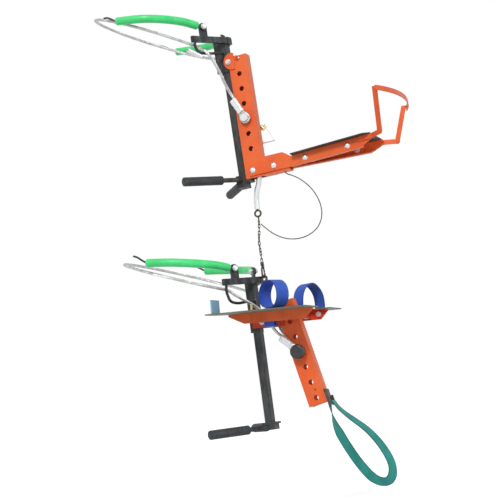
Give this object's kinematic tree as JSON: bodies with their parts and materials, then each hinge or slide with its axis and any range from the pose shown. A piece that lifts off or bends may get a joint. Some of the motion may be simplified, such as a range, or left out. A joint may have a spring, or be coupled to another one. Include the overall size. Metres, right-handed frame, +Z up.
{
  "type": "tree climber",
  "caption": "Two-part palm trunk climber: a hinged steel seat unit and a hinged foot unit, each gripping the trunk with wire rope and a rubber-tipped fork.",
  "frame": {"origin": "on the trunk's axis, level with the seat unit's V-fork", "axes": "+Z up along the trunk, +X out from the trunk through the seat, -Y to the near side"},
  "size_m": [0.8016, 0.3656, 1.302],
  "materials": {
    "black_steel": "satin",
    "dark_steel": "worn",
    "black_rubber": "matt",
    "zinc_steel": "zinc plated",
    "yellow_zinc": "yellow zinc plated",
    "green_hose": "smooth hose",
    "wire_rope": "stranded",
    "dark_wire": "stranded",
    "orange_paint": "satin enamel",
    "red_paint": "satin enamel",
    "black_plate": "satin",
    "olive_plate": "worn",
    "pale_blue_paint": "satin",
    "blue_webbing": "woven",
    "teal_webbing": "woven",
    "black_plastic": "satin"
  },
  "bodies": {
    "upper_frame": {"upper_mast": "black_steel", "upper_yoke": "black_steel", "upper_guide_bolts": "zinc_steel", "upper_hoops": "black_steel", "upper_guide_tubes": "zinc_steel", "upper_guide_rods": "black_steel", "upper_guide_hoses": "green_hose", "upper_foot_block": "black_steel", "upper_fork_rods": "black_steel", "upper_fork_grips": "black_rubber", "seat_hinge_bolt": "zinc_steel", "upper_rope_loop": "wire_rope", "seat_rope_tails": "wire_rope", "tether_sleeve": "zinc_steel", "tether_ring": "dark_steel", "tether_chain": "dark_steel", "safety_wire": "dark_wire"},
    "seat_frame": {"seat_lever": "orange_paint", "seat_stub": "orange_paint", "seat_arm_near": "orange_paint", "seat_arm_far": "orange_paint", "seat_arm_bolts": "zinc_steel", "seat_cross_brackets": "orange_paint", "seat_plate": "black_plate", "backrest_side_bars": "orange_paint", "backrest_band": "orange_paint", "seat_rope_pin": "zinc_steel", "seat_rope_ends": "zinc_steel"},
    "linch_pin": {"seat_linch_pin": "yellow_zinc"},
    "linch_bail": {"seat_linch_bail": "zinc_steel"},
    "lower_frame": {"lower_mast": "black_steel", "lower_yoke": "black_steel", "lower_guide_bolts": "zinc_steel", "lower_hoops": "black_steel", "lower_guide_rods": "black_steel", "lower_guide_hoses": "green_hose", "lower_foot_block": "black_steel", "lower_fork_rods": "black_steel", "lower_fork_grips": "black_rubber", "foot_hinge_bolt": "zinc_steel", "lower_rope_loop": "wire_rope", "foot_rope_tails": "wire_rope", "snap_hook": "dark_steel"},
    "snap_gate": {"snap_gate": "dark_steel"},
    "foot_frame": {"foot_lever": "orange_paint", "foot_stub": "red_paint", "foot_arm_near": "orange_paint", "foot_arm_far": "red_paint", "foot_cross_bars": "red_paint", "foot_bolts": "zinc_steel", "strap_bolts": "yellow_zinc", "foot_plates": "olive_plate", "toe_stops": "pale_blue_paint", "foot_strap_near": "blue_webbing", "foot_strap_far": "blue_webbing", "pull_strap_fitting": "dark_steel", "pull_strap": "teal_webbing", "foot_rope_pin": "black_plastic", "foot_rope_ends": "zinc_steel"}
  },
  "joints": [
    {"name": "seat_hinge", "type": "hinge", "parent": "upper_frame", "child": "seat_frame", "pos_m": [0.2, 0, 0.32], "axis": [0, -1, 0], "range_deg": [0, 45], "deforming": ["seat_rope_tails", "safety_wire"]},
    {"name": "foot_hinge", "type": "hinge", "parent": "lower_frame", "child": "foot_frame", "pos_m": [0.198, 0, -0.359], "axis": [0, -1, 0], "range_deg": [0, 45], "deforming": ["foot_rope_tails"]},
    {"name": "foot_unit_slide", "type": "slide", "parent": "upper_frame", "child": "lower_frame", "axis": [0, 0, 1], "range_m": [0, 0.11], "deforming": ["tether_chain"]},
    {"name": "snap_gate_hinge", "type": "hinge", "parent": "lower_frame", "child": "snap_gate", "pos_m": [0.213, 0.0052, -0.2204], "axis": [-1, 0, 0], "range_deg": [0, 25], "stiffness_Nm_per_rad": 0.02},
    {"name": "linch_slide", "type": "slide", "parent": "seat_frame", "child": "linch_pin", "axis": [0.7206, 0, -0.6934], "range_m": [0, 0.02]},
    {"name": "bail_hinge", "type": "hinge", "parent": "linch_pin", "child": "linch_bail", "pos_m": [0.25137, 0.0334, 0.14133], "axis": [0.6934, 0, 0.7206], "range_deg": [-15, 90]}
  ]
}
